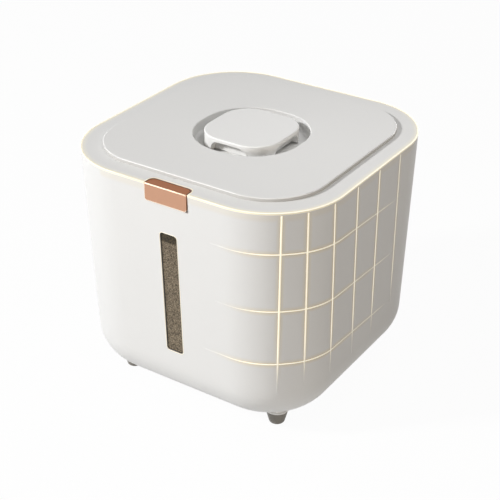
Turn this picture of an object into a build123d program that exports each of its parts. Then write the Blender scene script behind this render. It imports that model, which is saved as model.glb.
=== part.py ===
from build123d import *

import os

# body of the box, millimetres
box_width = 250.0
corner_radius = 69.0
tub_depth = 215.0
wall_lean = 0.033
bottom_round = 40.0
tub_wall = 2.6
tub_floor = 3.0
base_recess_margin = 67.0
base_recess_radius = 20.0
base_recess_depth = 0.8

# feet
foot_margin = 45.5
foot_drop = 11.6
foot_seat_rise = 2.2
foot_top_radius = 10.4
foot_bottom_radius = 6.8
foot_edge_round = 2.0
foot_stem_radius = 3.9
foot_stem_height = 6.5
foot_ring_rim = 0.5
foot_ring_height = 1.3
foot_boss_step = 0.8
foot_boss_height = 9.0
foot_clearance = 0.1

# sight window
window_width = 17.3
window_below_ring = 42.6
window_above_round = 14.4
window_corner = 3.0
window_set_back = 0.9
window_seal_width = 0.9
window_seal_set_back = 0.5
window_seal_thickness = 0.8
window_flange_width = 5.0
window_flange_thickness = 1.8

# gasket seat
seat_below_ring = 12.0
collar_thickness = 2.2
collar_depth = 9.0
collar_fit = 0.1
collar_reach = 7.7

# lid
lid_plate = 2.0
trim_width = 1.3
trim_height = 1.5
trim_round = 0.5
panel_margin = 18.5
panel_corner_extra = 1.5
panel_rise = 3.2
panel_round = 0.9
well_half = 49.5
well_corner_flat = 4.5
well_depth = 11.2
well_round = 0.9
well_foot_round = 3.0
gasket_overlap = 4.7
gasket_width = 3.7
gasket_lip = 1.8
liner_flange = 1.5
liner_flange_back = 1.8
liner_gap = 2.1
liner_wall = 2.0
liner_depth = 20.0
liner_round = 4.0
rib_inset = 1.0
rib_wall = 2.0
screw_corner_margin = 27.5
screw_side_margin = 17.5
screw_boss_radius = 3.8
screw_shank_radius = 1.3
screw_head_radius = 3.0
screw_head_height = 1.9
screw_length = 9.0
screw_head_round = 0.6
screw_hole_radius = 1.7
screw_thread_gap = 0.1
screw_drive_length = 3.6
screw_drive_width = 0.8
screw_drive_depth = 1.1

# hinge
hinge_behind = 6.0
hinge_below_ring = 10.0
hinge_barrel_radius = 4.0
hinge_barrel_length = 48.0
hinge_lug_radius = 4.2
hinge_lug_length = 9.0
hinge_side_gap = 0.5
hinge_pin_radius = 1.5
hinge_running_gap = 0.06
hinge_pin_fit = 0.02
hinge_arm_thickness = 3.2
hinge_arm_root = 8.5
hinge_notch_depth = 6.2
hinge_gusset = 9.0

# latch
latch_width = 42.0
latch_pad_depth = 10.0
latch_pad_thickness = 2.1
latch_pad_corner = 5.0
latch_plate_height = 15.6
latch_plate_thickness = 1.8
latch_plate_corner = 2.2
latch_proud = 0.8
latch_edge_round = 0.7
latch_gap = 0.5
latch_rear_gap = 1.2
latch_pivot_in = 4.7
latch_pivot_below = 3.9
latch_pin_radius = 0.9
latch_pin_seat = 1.95
latch_running_gap = 0.06
latch_lug_radius = 2.0
latch_lug_width = 6.0
latch_lug_place = 15.0
latch_nose_width = 24.0
latch_nose_height = 2.0
latch_nose_below = 9.9
latch_nose_reach = 1.5
catch_width = 28.0
catch_top_below = 7.2
catch_height = 2.1
catch_reach = 1.3
pocket_depth = 2.8
pocket_backing = 1.4
pocket_border = 3.0
pocket_gap = 0.6
tray_below = 5.4
tray_thickness = 1.0
tray_front_in = 6.6
ear_thickness = 2.6
ear_front_in = 3.1
spring_place = 6.0
spring_in = 8.3
spring_radius = 1.4
spring_wire = 0.2
spring_turns = 3

# desiccant basket
basket_bore_radius = 22.5
basket_wall = 1.6
basket_depth = 24.0
basket_flange_radius = 28.5
basket_flange = 1.2
basket_gap = 0.3
basket_slot_width = 2.4
basket_slot_height = 8.0
basket_slot_count = 18
basket_hole_radius = 1.3
basket_hole_pitch = 5.0

# cap
cap_finger_gap = 12.5
cap_corner_flat = 11.0
cap_rise = 6.8
cap_round = 1.2
cap_top = 2.6
cap_skirt = 2.4
cap_floor_gap = 1.6
arch_half_width = 18.5
arch_below_top = 3.4
arch_corner = 8.0
arch_depth = 7.5
cap_ring_radius = 26.5
cap_spigot_radius = 21.4
cap_spigot_wall = 1.8
cap_spigot_entry = 3.0
seal_thickness = 1.8
seal_fit = 0.1

# heights and places that follow from the sizes above
over = 1.0
half = box_width / 2
foot_place = half - foot_margin
base_recess_half = half - base_recess_margin
window_height = tub_depth - bottom_round - window_below_ring - window_above_round
neck_half = half - tub_wall - collar_fit - collar_reach
gasket_half = neck_half + gasket_overlap
rib_half = gasket_half - rib_inset
liner_half = neck_half - liner_gap
liner_flange_half = gasket_half - liner_flange_back
screw_corner = liner_half - screw_corner_margin
screw_side = liner_half - screw_side_margin
panel_half = half - panel_margin
panel_radius = corner_radius - panel_margin + panel_corner_extra
well_radius = well_half - well_corner_flat
cap_half = well_half - cap_finger_gap
cap_radius = cap_half - cap_corner_flat
z_under = foot_drop
z_ring = z_under + tub_depth
z_lip = z_ring - lid_plate
z_seat = z_ring - seat_below_ring
z_foot_seat = z_under + foot_seat_rise
z_panel = z_ring + panel_rise
z_well = z_panel - well_depth
z_cap = z_ring + cap_rise
z_gasket_top = z_seat + 2 * gasket_lip + liner_flange
z_liner = z_ring - liner_depth
z_basket = z_well - basket_depth
z_seal = z_well + basket_flange
hinge_y = half + hinge_behind
hinge_z = z_ring - hinge_below_ring
latch_face_y = -half - latch_proud
latch_back_y = latch_face_y + latch_plate_thickness
pivot_y = -half + latch_pivot_in
pivot_z = z_ring - latch_pivot_below
pocket_y = -half + pocket_depth
notch_half = latch_width / 2 + latch_gap
notch_y = -half + latch_pad_depth + latch_rear_gap
lug_outer_x = hinge_barrel_length / 2 + hinge_side_gap + hinge_lug_length
rear_reach = half + hinge_behind + hinge_lug_radius
front_reach = half + latch_proud
footprint_shift = (front_reach - rear_reach) / 2


def block(x_low, x_high, y_low, y_high, z_low, z_high):
    """Box between two corners."""
    size = (x_high - x_low, y_high - y_low, z_high - z_low)
    middle = ((x_low + x_high) / 2, (y_low + y_high) / 2, (z_low + z_high) / 2)
    return Pos(*middle) * Box(*size)


def drum(radius, z_low, z_high, x=0.0, y=0.0):
    """Upright cylinder between two heights."""
    return Pos(x, y, (z_low + z_high) / 2) * Cylinder(radius, z_high - z_low)


def cross_bar(radius, x_low, x_high, y, z):
    """Cylinder lying along X."""
    bar = Cylinder(radius, x_high - x_low, rotation=(0, 90, 0))
    return Pos((x_low + x_high) / 2, y, z) * bar


def side_profile(points, x_low, x_high):
    """Prism of a Y-Z outline between two places along X."""
    face = Plane.YZ * make_face(Polyline(*points, close=True))
    return Pos(x_low, 0, 0) * extrude(face, x_high - x_low, dir=(1, 0, 0))


def squircle(side, radius, z_low, z_high):
    """Straight prism on a rounded square of the given half side."""
    face = RectangleRounded(2 * side, 2 * side, radius)
    return Pos(0, 0, z_low) * extrude(face, z_high - z_low)


def rim_prism(side, z_low, z_high):
    """Straight prism whose outline runs parallel to the rim."""
    return squircle(side, corner_radius - (half - side), z_low, z_high)


def tub_section(inset, z):
    """Outline of the leaning walls at a height, moved in by an inset."""
    shift = inset + wall_lean * (z_ring - z)
    side = half - shift
    return Pos(0, 0, z) * RectangleRounded(2 * side, 2 * side, corner_radius - shift)


def tub_form(inset, z_low, z_high):
    """Solid between two heights inside the leaning walls."""
    return loft([tub_section(inset, z_low), tub_section(inset, z_high)], ruled=True)


def tub_bowl(inset, z_low, z_high, radius):
    """Leaning form with a round bottom edge."""
    form = tub_form(inset, z_low, z_high)
    return fillet(form.faces().sort_by(Axis.Z)[0].edges(), radius)


def level_edges(shape, z, reach):
    """Edges at a height that lie within a distance of the middle axis."""
    found = []
    for edge in shape.edges():
        box = edge.bounding_box()
        wide = max(abs(box.min.X), abs(box.max.X), abs(box.min.Y), abs(box.max.Y))
        if abs(box.min.Z - z) < 1e-3 and abs(box.max.Z - z) < 1e-3 and wide < reach:
            found.append(edge)
    return found


def corner_places(place):
    """Four points on the diagonals."""
    return [(x, y) for x in (-place, place) for y in (-place, place)]


def screw_places():
    """Corners and side middles of the liner's screws."""
    sides = [(screw_side, 0), (-screw_side, 0), (0, screw_side), (0, -screw_side)]
    return corner_places(screw_corner) + sides


def window_prism(margin):
    """Bar through the front wall on the window's outline, grown by a margin."""
    wide = window_width + 2 * margin
    high = window_height + 2 * margin
    face = RectangleRounded(wide, high, window_corner + margin)
    bar = extrude(Plane.XZ * face, half, both=True)
    z_middle = z_ring - window_below_ring - window_height / 2
    front = block(-half, half, -2 * half, 0, 0, z_ring)
    return Pos(0, -half, z_middle) * bar & front


def wall_layer(inset_low, inset_high):
    """Layer of the leaning walls between two insets."""
    z_low = z_under + bottom_round
    z_high = z_seat - collar_depth
    return tub_form(inset_low, z_low, z_high) - tub_form(inset_high, z_low - over, z_high + over)


def make_tub():
    """Leaning round-cornered body with foot sockets, window, latch pocket and hinge lugs."""
    outer = tub_bowl(0, z_under, z_lip, bottom_round)
    inner = tub_bowl(tub_wall, z_under + tub_floor, z_ring, bottom_round - tub_wall)
    tub = outer - inner
    for x, y in corner_places(foot_place):
        boss = foot_top_radius - foot_boss_step
        ring = foot_top_radius + foot_ring_rim
        tub += drum(boss, z_foot_seat, z_foot_seat + foot_boss_height, x, y)
        tub += drum(ring, z_foot_seat, z_foot_seat + foot_ring_height, x, y)
    tub += make_pocket_backing()
    for side in (-1, 1):
        tub += make_lug(side)
    for x, y in corner_places(foot_place):
        tub -= drum(foot_top_radius + foot_clearance, 0, z_foot_seat, x, y)
        stem_top = z_foot_seat + foot_stem_height + foot_clearance
        tub -= drum(foot_stem_radius + foot_clearance, 0, stem_top, x, y)
    tub -= squircle(base_recess_half, base_recess_radius, 0, z_under + base_recess_depth)
    tub -= window_prism(0)
    tub -= make_pocket()
    tub += make_catch()
    bore = hinge_pin_radius + hinge_pin_fit
    tub -= cross_bar(bore, -lug_outer_x - over, lug_outer_x + over, hinge_y, hinge_z)
    notch = hinge_barrel_length / 2 + hinge_side_gap
    z_notch = z_lip - hinge_notch_depth
    tub -= block(-notch, notch, half - tub_wall - over, hinge_y, z_notch, z_ring)
    return tub


def make_pocket_backing():
    """Thickened wall behind the latch pocket."""
    wide = latch_width / 2 + pocket_border
    back = pocket_y + pocket_backing
    z_low = z_ring - latch_plate_height - pocket_gap - pocket_border
    lower = wall_lean * (z_ring - z_low)
    front = -half + lower + tub_wall / 2
    return block(-wide, wide, front, back, z_low, z_ring - catch_top_below)


def make_pocket():
    """Room for the latch plate in the front wall, open through the lip above the catch."""
    wide = latch_width / 2 + pocket_gap
    front = -half - over
    z_low = z_ring - latch_plate_height - pocket_gap
    lip = block(-wide, wide, front, pocket_y + tub_wall, z_ring - catch_top_below, z_ring)
    return lip + block(-wide, wide, front, pocket_y, z_low, z_ring)


def make_catch():
    """Ledge in the pocket that the latch nose hooks under."""
    z_high = z_ring - catch_top_below
    front = pocket_y - catch_reach
    return block(-catch_width / 2, catch_width / 2, front, pocket_y, z_high - catch_height, z_high)


def make_lug(side):
    """Hinge lug on the rear wall."""
    near = hinge_barrel_length / 2 + hinge_side_gap
    x_low, x_high = sorted((side * near, side * lug_outer_x))
    z_high = hinge_z + hinge_lug_radius
    z_low = hinge_z - hinge_lug_radius
    root = half - wall_lean * (z_ring - z_low + hinge_gusset) - tub_wall / 2
    web = [(root, z_high), (hinge_y, z_high), (hinge_y, z_low), (root, z_low - hinge_gusset)]
    return side_profile(web, x_low, x_high) + cross_bar(hinge_lug_radius, x_low, x_high, hinge_y, hinge_z)


def make_rim_collar():
    """Ring set inside the rim that carries the gasket's flat seat."""
    z_low = z_seat - collar_depth
    inset = tub_wall + collar_fit
    inner = neck_half + collar_thickness
    collar = tub_form(inset, z_low, z_seat) - rim_prism(neck_half, z_low - over, z_seat + over)
    room = tub_form(inset + collar_thickness, z_low - over, z_seat - collar_thickness)
    room -= rim_prism(inner, z_low - 2 * over, z_seat)
    collar -= room
    wide = latch_width / 2 + pocket_border + pocket_gap
    back = pocket_y + pocket_backing + collar_fit
    collar -= block(-wide, wide, -half, back, z_low - over, z_seat + over)
    return collar


def make_window_pane():
    """Clear bar in the window, with a flange behind the wall."""
    front = window_prism(-window_seal_width) & wall_layer(window_set_back, tub_wall + window_seal_thickness)
    low = tub_wall + window_seal_thickness
    flange = window_prism(window_flange_width) & wall_layer(low, low + window_flange_thickness)
    return front + flange


def make_window_gasket():
    """Seal round the pane, between its flange and the wall."""
    low = window_seal_set_back
    ring = window_prism(0) & wall_layer(low, tub_wall)
    flange = window_prism(window_flange_width) & wall_layer(tub_wall, tub_wall + window_seal_thickness)
    return ring + flange - window_prism(-window_seal_width)


def make_foot(x, y):
    """Tapered foot with a stem in the tub's socket."""
    taper = [
        (0, 0),
        (foot_bottom_radius, 0),
        (foot_top_radius, z_foot_seat),
        (foot_stem_radius, z_foot_seat),
        (foot_stem_radius, z_foot_seat + foot_stem_height),
        (0, z_foot_seat + foot_stem_height),
    ]
    foot = revolve(Plane.XZ * make_face(Polyline(*taper, close=True)), Axis.Z)
    foot = fillet(level_edges(foot, 0, 2 * foot_top_radius), foot_edge_round)
    return Pos(x, y, 0) * foot


def make_hinge_pin():
    """Rod through both lugs and the barrel."""
    return cross_bar(hinge_pin_radius, -lug_outer_x, lug_outer_x, hinge_y, hinge_z)


def make_lid_cover():
    """Lid plate with raised panel, well, screw bosses, hinge arm and latch seat."""
    plate = rim_prism(half, z_lip, z_ring)
    plate -= rim_prism(half, z_ring - trim_height, z_ring) - rim_prism(half - trim_width, z_lip, z_ring)
    panel = squircle(panel_half, panel_radius, z_lip, z_panel)
    panel = fillet(level_edges(panel, z_panel, box_width), panel_round)
    cover = plate + panel
    inside = panel_half - lid_plate
    cover -= squircle(inside, panel_radius - lid_plate, z_lip, z_panel - lid_plate)
    pot = well_half + lid_plate
    cover += squircle(pot, well_radius + lid_plate, z_well - lid_plate, z_panel - lid_plate / 2)
    well = squircle(well_half, well_radius, z_well, z_panel + over)
    well = fillet(level_edges(well, z_well, box_width), well_foot_round)
    cover -= well
    cover = fillet(level_edges(cover, z_panel, well_half + over), well_round)
    cover -= drum(basket_bore_radius + basket_wall + basket_gap, z_basket, z_ring)
    rib = rim_prism(rib_half, z_gasket_top, z_ring - lid_plate / 2)
    cover += rib - rim_prism(rib_half - rib_wall, z_basket, z_ring)
    for x, y in screw_places():
        cover += drum(screw_boss_radius, z_liner + liner_wall, z_panel - lid_plate / 2, x, y)
    for x, y in screw_places():
        z_high = z_liner + screw_length + 2 * liner_wall
        cover -= drum(screw_shank_radius + screw_thread_gap, z_liner, z_high, x, y)
    cover += make_hinge_arm()
    bore = hinge_pin_radius + hinge_running_gap
    cover -= cross_bar(bore, -half, half, hinge_y, hinge_z)
    return add_latch_seat(cover)


def make_hinge_arm():
    """Arm through the rear notch, with the barrel on its end."""
    end = hinge_barrel_length / 2
    y_edge = half
    y_root = half - hinge_arm_root
    z_low = z_lip - hinge_arm_thickness
    fall = hinge_arm_thickness / 2
    arm = [
        (y_root, z_lip + lid_plate / 2),
        (y_edge - trim_width, z_ring - trim_height),
        (y_edge, z_lip),
        (hinge_y, hinge_z + hinge_barrel_radius),
        (hinge_y - fall, hinge_z),
        (y_edge - fall, z_low),
        (y_root, z_low),
    ]
    barrel = cross_bar(hinge_barrel_radius, -end, end, hinge_y, hinge_z)
    return side_profile(arm, -end, end) + barrel


def pad_outline(side, back, corner):
    """Latch pad seen from above: square at the front, round corners at the rear."""
    reach = half + 2 * over
    deep = back + reach
    face = Pos(0, back - deep) * RectangleRounded(2 * side, 2 * deep, corner)
    front = Pos(0, -reach - deep) * Rectangle(4 * side, 2 * deep)
    return face - front


def add_latch_seat(cover):
    """Notch, tray and ears for the latch at the front of the cover."""
    z_tray = z_ring - tray_below
    z_low = z_tray - tray_thickness
    ear_x = notch_half + ear_thickness
    front = -half + ear_front_in
    ears = block(-ear_x, ear_x, front, notch_y + ear_thickness, z_low, z_ring - lid_plate / 2)
    cover += ears
    notch = extrude(pad_outline(notch_half, notch_y, latch_pad_corner + latch_gap), over + tray_below)
    cover -= Pos(0, 0, z_tray) * notch
    tray_front = -half + tray_front_in
    cover -= block(-notch_half, notch_half, -half - over, tray_front, z_low - over, z_ring + over)
    pin = latch_pin_radius + latch_running_gap / 2
    end = notch_half + latch_pin_seat
    return cover - cross_bar(pin, -end, end, pivot_y, pivot_z)


def make_latch_pin():
    """Rod that the latch rocks on."""
    end = notch_half + latch_pin_seat
    return cross_bar(latch_pin_radius, -end, end, pivot_y, pivot_z)


def make_latch_button():
    """Rocker with a thumb pad on top and a hooked plate in front."""
    side = latch_width / 2
    back = notch_y - latch_rear_gap
    pad = extrude(pad_outline(side, back, latch_pad_corner), latch_pad_thickness)
    pad = Pos(0, 0, z_ring - latch_pad_thickness) * pad
    pad -= block(-half, half, -2 * half, latch_face_y, 0, z_cap)
    face = RectangleRounded(latch_width, 2 * latch_plate_height, latch_plate_corner)
    plate = Pos(0, latch_back_y, z_ring) * extrude(Plane.XZ * face, latch_plate_thickness)
    plate -= block(-half, half, -2 * half, half, z_ring, z_cap + half)
    button = pad + plate
    edge = [e for e in button.edges().filter_by(Axis.X) if abs(e.center().Y - latch_face_y) < 0.01]
    button = fillet([e for e in edge if e.center().Z > z_ring - 0.01], latch_edge_round)
    z_nose = z_ring - latch_nose_below
    nose_end = latch_back_y + latch_nose_reach
    nose = [
        (latch_back_y - latch_plate_thickness / 2, z_nose),
        (nose_end, z_nose),
        (latch_back_y, z_nose - latch_nose_height),
        (latch_back_y - latch_plate_thickness / 2, z_nose - latch_nose_height),
    ]
    button += side_profile(nose, -latch_nose_width / 2, latch_nose_width / 2)
    for place in (-latch_lug_place, latch_lug_place):
        low = place - latch_lug_width / 2
        high = place + latch_lug_width / 2
        button += cross_bar(latch_lug_radius, low, high, pivot_y, pivot_z)
        front = pivot_y - latch_lug_radius
        rear = pivot_y + latch_lug_radius
        button += block(low, high, front, rear, pivot_z, z_ring - latch_pad_thickness / 2)
    bore = latch_pin_radius + latch_running_gap
    return button - cross_bar(bore, -half, half, pivot_y, pivot_z)


def make_latch_springs():
    """Two coils between the tray and the pad."""
    z_low = z_ring - tray_below + spring_wire
    height = tray_below - latch_pad_thickness - 2 * spring_wire
    springs = []
    for x in (-spring_place, spring_place):
        path = Helix(height / spring_turns, height, spring_radius)
        wire = sweep(Plane(path @ 0, z_dir=path % 0) * Circle(spring_wire), path, is_frenet=True)
        springs.append(Pos(x, -half + spring_in, z_low) * wire)
    return Compound(springs)


def make_rim_trim():
    """Bright band let into the edge of the lid plate."""
    z_low = z_ring - trim_height
    trim = rim_prism(half, z_low, z_ring) - rim_prism(half - trim_width, z_low - over, z_ring + over)
    outer = [e for e in level_edges(trim, z_ring, box_width) if is_outer(e)]
    trim = fillet(outer, trim_round)
    return trim - block(-notch_half, notch_half, -half - over, 0, z_low - over, z_ring + over)


def is_outer(edge):
    """Whether an edge of the trim lies on the outer outline."""
    point = edge @ 0.5
    centre = half - corner_radius
    dx = max(abs(point.X) - centre, 0)
    dy = max(abs(point.Y) - centre, 0)
    return (dx * dx + dy * dy) ** 0.5 > corner_radius - trim_width / 2


def make_lid_liner():
    """Pan under the lid whose flange holds the gasket."""
    z_flange = z_seat + gasket_lip
    pan = rim_prism(liner_half, z_liner, z_flange + liner_flange)
    pan = fillet(level_edges(pan, z_liner, box_width), liner_round)
    room = rim_prism(liner_half - liner_wall, z_liner + liner_wall, z_ring)
    room = fillet(level_edges(room, z_liner + liner_wall, box_width), liner_round - liner_wall)
    liner = pan + rim_prism(liner_flange_half, z_flange, z_flange + liner_flange) - room
    liner -= drum(basket_bore_radius + basket_wall + basket_gap, z_basket, z_ring)
    for x, y in screw_places():
        liner -= drum(screw_hole_radius, z_basket, z_ring, x, y)
    return liner


def make_lid_gasket():
    """Two-lipped seal clipped on the liner's flange."""
    inner = gasket_half - gasket_width
    z_flange = z_seat + gasket_lip
    gasket = rim_prism(gasket_half, z_seat, z_gasket_top) - rim_prism(inner, z_seat - over, z_ring)
    return gasket - rim_prism(liner_flange_half, z_flange, z_flange + liner_flange)


def make_lid_screws():
    """Pan-head screws from below, each with a crossed drive."""
    screws = []
    z_head = z_liner
    z_low = z_head - screw_head_height
    for x, y in screw_places():
        head = drum(screw_head_radius, z_low, z_head)
        head = fillet(level_edges(head, z_low, box_width), screw_head_round)
        screw = head + drum(screw_shank_radius, z_head - over / 2, z_head + screw_length)
        long = screw_drive_length / 2
        thin = screw_drive_width / 2
        screw -= block(-long, long, -thin, thin, z_low - over, z_low + screw_drive_depth)
        screw -= block(-thin, thin, -long, long, z_low - over, z_low + screw_drive_depth)
        screws.append(Pos(x, y, 0) * screw)
    return Compound(screws)


def make_desiccant_basket():
    """Slotted cup hung in the well."""
    outer = basket_bore_radius + basket_wall
    basket = drum(outer, z_basket, z_seal) + drum(basket_flange_radius, z_well, z_seal)
    basket -= drum(basket_bore_radius, z_basket + basket_wall, z_seal + over)
    z_slot = (z_basket + z_liner) / 2
    slot = Box(4 * basket_wall, basket_slot_width, basket_slot_height)
    for index in range(basket_slot_count):
        turn = Rot(0, 0, index * 360 / basket_slot_count)
        basket -= turn * Pos(basket_bore_radius, 0, z_slot) * slot
    reach = basket_bore_radius - basket_wall - basket_hole_radius
    rows = int(reach / basket_hole_pitch)
    for row in range(-rows, rows + 1):
        for column in range(-rows, rows + 1):
            x = row * basket_hole_pitch
            y = column * basket_hole_pitch
            if x * x + y * y <= reach * reach:
                basket -= drum(basket_hole_radius, z_basket - over, z_basket + basket_wall + over, x, y)
    return basket


def arch_cutter(margin):
    """Finger arches in the two sides along X, grown by a margin up, out and in."""
    z_high = z_cap - arch_below_top + margin
    z_low = z_well - over
    wide = arch_half_width + margin
    back = cap_half - arch_depth - margin
    face = RectangleRounded(2 * wide, 2 * (z_high - z_low), arch_corner + margin)
    bar = Pos(0, 0, z_low) * extrude(Plane.YZ * face, 2 * cap_half, both=True)
    return bar - block(-back, back, -cap_half, cap_half, 0, z_cap + over)


def make_knob_cap():
    """Lift-off cap with a finger arch sunk in each side and a spigot for the cup."""
    z_low = z_well + cap_floor_gap
    cap = squircle(cap_half, cap_radius, z_low, z_cap)
    cap = fillet(level_edges(cap, z_cap, box_width), cap_round)
    room = squircle(cap_half - cap_skirt, cap_radius - cap_skirt, z_low - over, z_cap - cap_top)
    for turn in (Rot(0, 0, 0), Rot(0, 0, 90)):
        cap -= turn * arch_cutter(0)
        room -= turn * arch_cutter(cap_skirt)
    cap -= room
    z_ceiling = z_cap - cap_top / 2
    inner = cap_spigot_radius - cap_spigot_wall
    plug = drum(cap_ring_radius, z_seal + seal_thickness, z_ceiling)
    plug += drum(cap_spigot_radius, z_seal - cap_spigot_entry, z_ceiling)
    plug -= drum(inner, z_basket, z_cap - cap_top)
    return cap + plug


def make_cap_seal():
    """Flat ring under the cap."""
    seal = drum(cap_ring_radius, z_seal, z_seal + seal_thickness)
    return seal - drum(cap_spigot_radius + seal_fit, z_basket, z_ring)


def write(name, shape):
    """Write one piece in the frame of the whole box."""
    export_step(Pos(0, footprint_shift, 0) * shape, f"parts/{name}.step")


os.makedirs("parts", exist_ok=True)
write("tub", make_tub())
write("rim_collar", make_rim_collar())
write("window_pane", make_window_pane())
write("window_gasket", make_window_gasket())
for depth_name, depth_sign in (("front", -1), ("rear", 1)):
    for side_name, side_sign in (("left", -1), ("right", 1)):
        foot = make_foot(side_sign * foot_place, depth_sign * foot_place)
        write(f"foot_{depth_name}_{side_name}", foot)
write("hinge_pin", make_hinge_pin())
write("lid_cover", make_lid_cover())
write("lid_liner", make_lid_liner())
write("lid_gasket", make_lid_gasket())
write("rim_trim", make_rim_trim())
write("lid_screws", make_lid_screws())
write("latch_pin", make_latch_pin())
write("latch_springs", make_latch_springs())
write("desiccant_basket", make_desiccant_basket())
write("latch_button", make_latch_button())
write("knob_cap", make_knob_cap())
write("cap_seal", make_cap_seal())
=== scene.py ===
import math

import bpy
import numpy as np
from bpy.props import FloatProperty, FloatVectorProperty, IntProperty, PointerProperty
from mathutils import Matrix, Vector


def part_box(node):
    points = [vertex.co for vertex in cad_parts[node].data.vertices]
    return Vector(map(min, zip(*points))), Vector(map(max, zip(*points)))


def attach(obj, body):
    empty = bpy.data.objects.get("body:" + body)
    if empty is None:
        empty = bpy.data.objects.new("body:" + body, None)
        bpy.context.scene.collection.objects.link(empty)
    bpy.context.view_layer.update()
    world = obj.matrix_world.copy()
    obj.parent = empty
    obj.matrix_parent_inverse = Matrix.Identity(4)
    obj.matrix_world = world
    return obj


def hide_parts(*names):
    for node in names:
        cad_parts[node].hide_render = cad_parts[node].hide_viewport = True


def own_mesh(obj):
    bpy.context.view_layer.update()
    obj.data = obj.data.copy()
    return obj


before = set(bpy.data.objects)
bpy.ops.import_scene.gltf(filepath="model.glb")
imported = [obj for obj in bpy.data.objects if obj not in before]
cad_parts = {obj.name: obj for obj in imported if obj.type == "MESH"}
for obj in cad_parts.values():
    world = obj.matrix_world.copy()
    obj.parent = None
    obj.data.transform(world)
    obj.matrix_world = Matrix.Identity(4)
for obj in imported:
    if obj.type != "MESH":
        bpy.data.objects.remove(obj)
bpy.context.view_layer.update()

bl_info = {
    "name": "Airtight storage box",
    "version": (1, 0, 0),
    "blender": (4, 5, 0),
    "location": "3D View > Sidebar > Storage Box",
    "description": "Finishes, inlaid lines and stage for a food storage box with a hinged lid",
    "category": "Object",
}

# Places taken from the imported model
rim_low, rim_high = (np.array(corner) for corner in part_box("rim_trim"))
rim_centre = (rim_low + rim_high) / 2
rim_half = float(rim_high[0] - rim_low[0]) / 2
rim_top = float(rim_high[2])
pane_top = float(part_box("window_pane")[1][2])
latch_low, latch_high = (np.array(corner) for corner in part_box("latch_button"))
window_low, window_high = (np.array(corner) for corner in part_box("window_gasket"))


# Settings


def colour_setting(name, words, default):
    """A colour that the user may change."""
    return FloatVectorProperty(
        name=name, description=words, default=default, size=3, min=0.0, max=1.0, subtype="COLOR"
    )


def length_setting(name, words, default):
    """A length in metres."""
    return FloatProperty(
        name=name, description=words, default=default, min=0.0, subtype="DISTANCE", unit="LENGTH", precision=5
    )


def lines_setting(name, words, default, unit="LENGTH"):
    """One value for each line, in metres unless it has no unit."""
    return FloatVectorProperty(name=name, description=words, default=default, size=len(default), unit=unit)


def share_setting(name, words, default):
    """A share from nothing to all."""
    return FloatProperty(name=name, description=words, default=default, min=0.0, max=1.0, subtype="FACTOR")


def angle_setting(name, words, degrees):
    """An angle, given in degrees."""
    return FloatProperty(name=name, description=words, default=math.radians(degrees), subtype="ANGLE")


def power_setting(name, words, default):
    """A lamp's power in watts."""
    return FloatProperty(
        name=name, description=words, default=default, min=0.0, subtype="POWER", unit="POWER"
    )


class BoxFinishes(bpy.types.PropertyGroup):
    """Colours of the box's finishes, and how far its tints reach."""

    body_white: colour_setting("Body", "Moulded plastic of the tub", (0.83, 0.826, 0.812))
    lid_white: colour_setting("Lid", "Moulded plastic of the lid", (0.835, 0.83, 0.815))
    # Painted shade: grey painted on the raised panel's step, where shade falls at its foot
    panel_edge_shade: colour_setting("Panel edge", "Greyer edge of the raised panel", (0.57, 0.56, 0.54))
    # Painted glow: warm light painted on the lid beside its rim
    lid_painted_glow: colour_setting("Lid glow", "Warm tint of the lid beside its rim", (0.98, 0.94, 0.8))
    cap_white: colour_setting("Cap", "Moulded plastic of the cap", (0.89, 0.886, 0.872))
    liner_white: colour_setting("Liner", "Moulded plastic under the lid", (0.8, 0.795, 0.78))
    pane_tint: colour_setting("Pane", "Smoked tint of the sight window", (0.2, 0.157, 0.103))
    # Painted shade: the darker band stands in for the shade behind the pane's top
    pane_shade_band: colour_setting("Pane band", "Darker tint along the pane's upper edge", (0.053, 0.039, 0.018))
    seal_dark: colour_setting("Window seal", "Rubber round the pane", (0.05, 0.045, 0.04))
    seal_pale: colour_setting("Lid seal", "Silicone of the lid and cap seals", (0.7, 0.69, 0.67))
    foot_taupe: colour_setting("Feet", "Taupe of the feet", (0.25, 0.235, 0.21))
    pale_gold: colour_setting("Lines", "Pale gold of the rim and the inlaid lines", (0.95, 0.868, 0.68))
    # Painted glow: warm light painted on the tub's wall beside the lines and under the rim
    line_glow: colour_setting("Glow", "Warm tint of the wall beside the lines", (0.83, 0.765, 0.63))
    rose_front: colour_setting("Latch front", "Rose gold of the latch's front", (0.62, 0.345, 0.225))
    # Deeper copper painted on every upward face of the latch: partly the pad's own colour, partly painted
    # shade
    rose_pad_and_top_shade: colour_setting("Latch pad", "Deeper copper of the latch's thumb pad", (0.34, 0.12, 0.042))
    # Painted shadow: the dark line stands in for the shade in the gap behind the thumb pad
    pad_gap_shadow: colour_setting("Latch pad edge", "Dark edge round the thumb pad", (0.07, 0.024, 0.01))
    steel: colour_setting("Steel", "Screws, pins and springs", (0.62, 0.61, 0.6))
    # Reach of the painted glow beside a line
    painted_glow_width: length_setting("Glow width", "Reach of the warm tint beside a line", 0.005)
    # Reach of the painted glow on the lid beside its rim
    rim_painted_glow_width: length_setting("Rim glow", "Reach of the warm tint on the lid beside the rim", 0.006)
    # Height and softness of the painted shade on the panel's step; the softness also ends the lid's painted
    # glow
    panel_shade_height: length_setting("Panel edge height", "Height of the grey on the panel's edge", 0.0027)
    painted_light_soft: length_setting("Panel edge softness", "How softly that grey ends", 0.0005)
    # Depth and softness of the pane's painted shade band
    band_depth: length_setting("Band depth", "Depth of the dark band under the pane's top", 0.0125)
    band_soft: length_setting("Band softness", "Length over which the dark band ends", 0.003)


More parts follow.
